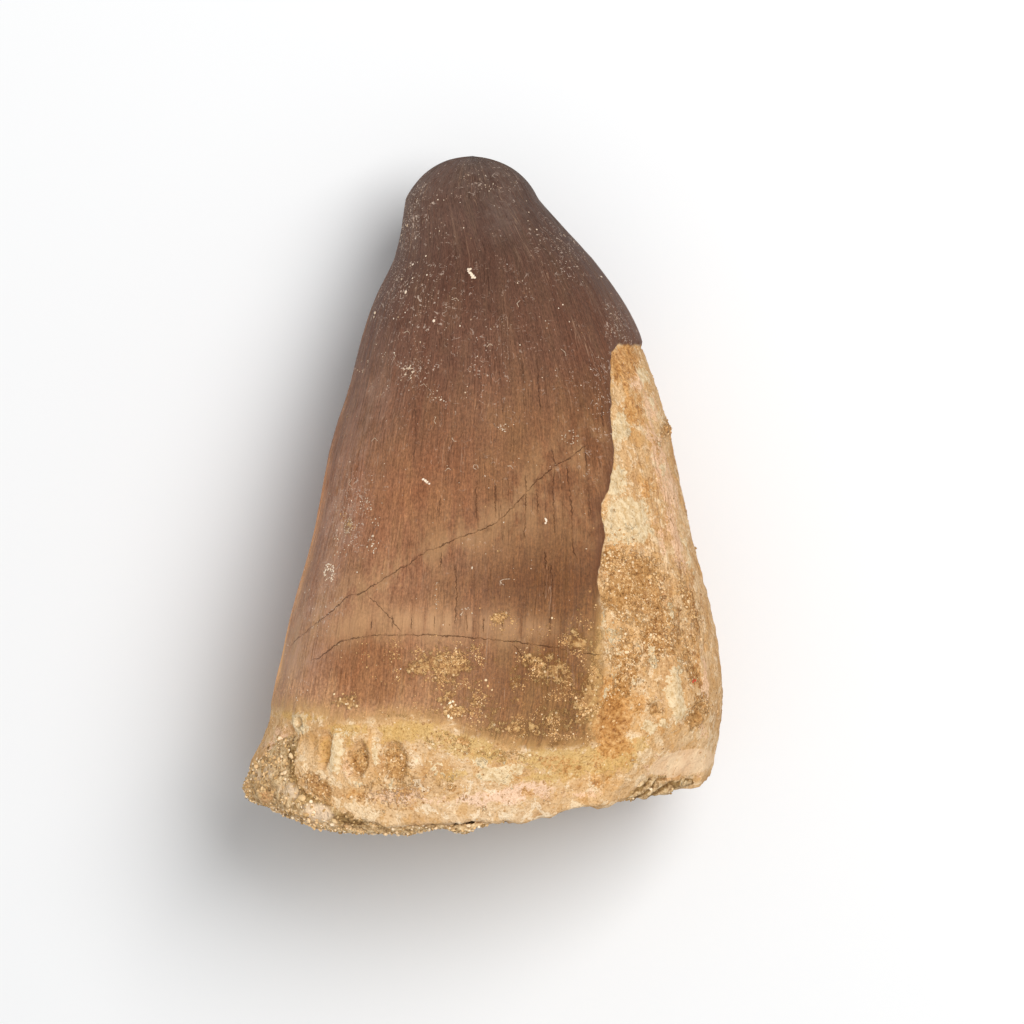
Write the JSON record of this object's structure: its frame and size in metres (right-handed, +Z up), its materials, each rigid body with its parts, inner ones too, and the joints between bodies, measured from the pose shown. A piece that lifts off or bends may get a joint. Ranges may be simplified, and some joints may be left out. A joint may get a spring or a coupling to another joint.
{
  "type": "fossil mosasaur tooth",
  "caption": "Fossil tooth with a blunt-tipped conical brown crown, a short pale broken root and sandy rock in the root's hollow.",
  "frame": {"origin": "middle of the footprint, on the surface that the tooth lies on", "axes": "+Y from the broken root to the tip, +Z up from the tongue side to the lip side, +X to the side where the enamel has flaked off"},
  "size_m": [0.0318, 0.045, 0.0212],
  "materials": {
    "tooth": "satin brown enamel over pale dentine and root bone, both turned to mineral",
    "matrix": "matt, sandy, cemented grains"
  },
  "bodies": {
    "root": {"tooth": "tooth", "matrix": "matrix"}
  },
  "joints": []
}
